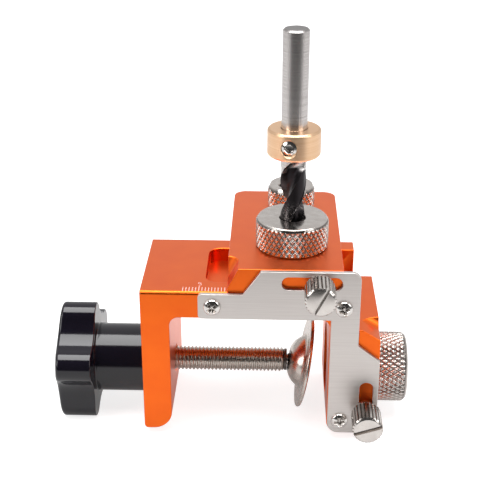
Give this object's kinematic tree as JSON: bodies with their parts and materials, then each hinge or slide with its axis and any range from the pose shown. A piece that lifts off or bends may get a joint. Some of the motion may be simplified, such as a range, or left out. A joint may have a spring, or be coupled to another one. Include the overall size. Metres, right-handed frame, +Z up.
{
  "type": "doweling jig",
  "caption": "C-frame doweling jig with a star-knob clamp screw, swivel pad, sliding top and side guide blocks with drill bushes, and a twist drill with a stop collar.",
  "frame": {"origin": "middle of the bottom of the whole jig's bounding box, at the level of the knob's two lower lobes", "axes": "+X from the knob to the fixed jaw, +Y from the plated front to the back, +Z up along the drill"},
  "size_m": [0.1156, 0.0776, 0.1296],
  "materials": {
    "orange_anodised": "satin orange anodised",
    "brushed_stainless": "brushed",
    "zinc_screws": "bright plated",
    "nickel_steel": "knurled, bright nickel plated",
    "tool_steel": "ground shank, black oxide flutes",
    "satin_brass": "turned satin brass",
    "black_oxide_screw": "black oxide",
    "plated_steel": "zinc plated",
    "black_plastic": "gloss moulded"
  },
  "bodies": {
    "frame": {"c_frame": "orange_anodised", "l_cover_plate": "brushed_stainless", "plate_screws": "zinc_screws"},
    "top_block": {"top_guide_block": "orange_anodised"},
    "front_bush": {"front_guide_bush": "nickel_steel"},
    "rear_bush": {"rear_guide_bush": "nickel_steel"},
    "top_thumb": {"top_thumb_screw": "nickel_steel"},
    "drill": {"drill_bit": "tool_steel"},
    "collar": {"stop_collar": "satin_brass"},
    "collar_grub": {"collar_grub_screw": "zinc_screws"},
    "side_block": {"side_guide_block": "orange_anodised"},
    "side_bush": {"side_guide_bush": "nickel_steel"},
    "side_thumb": {"side_thumb_screw": "nickel_steel"},
    "neck_ring": {"pad_neck_ring": "black_oxide_screw"},
    "clamp": {"clamp_screw": "plated_steel", "star_knob": "black_plastic", "knob_insert": "satin_brass"},
    "pad": {"swivel_pad": "plated_steel"}
  },
  "joints": [
    {"name": "top_block_slide", "type": "slide", "parent": "frame", "child": "top_block", "axis": [1, 0, 0], "range_m": [-0.0093, 0.0049]},
    {"name": "front_bush_turn", "type": "hinge", "parent": "top_block", "child": "front_bush", "pos_m": [0.01925, -0.00617, 0.06013], "axis": [0, 0, 1], "continuous": true},
    {"name": "rear_bush_turn", "type": "hinge", "parent": "top_block", "child": "rear_bush", "pos_m": [0.01925, 0.02583, 0.06013], "axis": [0, 0, 1], "continuous": true},
    {"name": "top_thumb_turn", "type": "hinge", "parent": "top_block", "child": "top_thumb", "pos_m": [0.02755, -0.02672, 0.05623], "axis": [0, -1, 0], "range_deg": [0, 720]},
    {"name": "drill_plunge", "type": "slide", "parent": "front_bush", "child": "drill", "axis": [0, 0, 1], "range_m": [0, 0.03]},
    {"name": "collar_set", "type": "slide", "parent": "drill", "child": "collar", "axis": [0, 0, 1], "range_m": [-0.02, 0.028]},
    {"name": "collar_grub_turn", "type": "hinge", "parent": "collar", "child": "collar_grub", "pos_m": [0.01925, -0.00617, 0.09493], "axis": [-0.2079, -0.9781, 0], "range_deg": [0, 720]},
    {"name": "side_block_slide", "type": "slide", "parent": "frame", "child": "side_block", "axis": [0, 0, 1], "range_m": [-0.0014, 0.0076]},
    {"name": "side_bush_turn", "type": "hinge", "parent": "side_block", "child": "side_bush", "pos_m": [0.04725, -0.00617, 0.01573], "axis": [1, 0, 0], "continuous": true},
    {"name": "side_thumb_turn", "type": "hinge", "parent": "side_block", "child": "side_thumb", "pos_m": [0.04345, -0.02672, 0.01183], "axis": [0, -1, 0], "range_deg": [0, 720]},
    {"name": "clamp_travel", "type": "slide", "parent": "frame", "child": "neck_ring", "axis": [1, 0, 0], "range_m": [-0.03375, 0]},
    {"name": "clamp_turn", "type": "hinge", "parent": "neck_ring", "child": "clamp", "pos_m": [-0.02775, -0.00543, 0.01713], "axis": [1, 0, 0], "range_deg": [-9756, 36]},
    {"name": "pad_tilt", "type": "hinge", "parent": "neck_ring", "child": "pad", "pos_m": [0.02105, -0.00543, 0.01713], "axis": [0, 1, 0], "range_deg": [-19, 0]}
  ],
  "couplings": [
    {"joint": "clamp_turn", "follows": "clamp_travel", "rad_per_m": 5026.5}
  ]
}
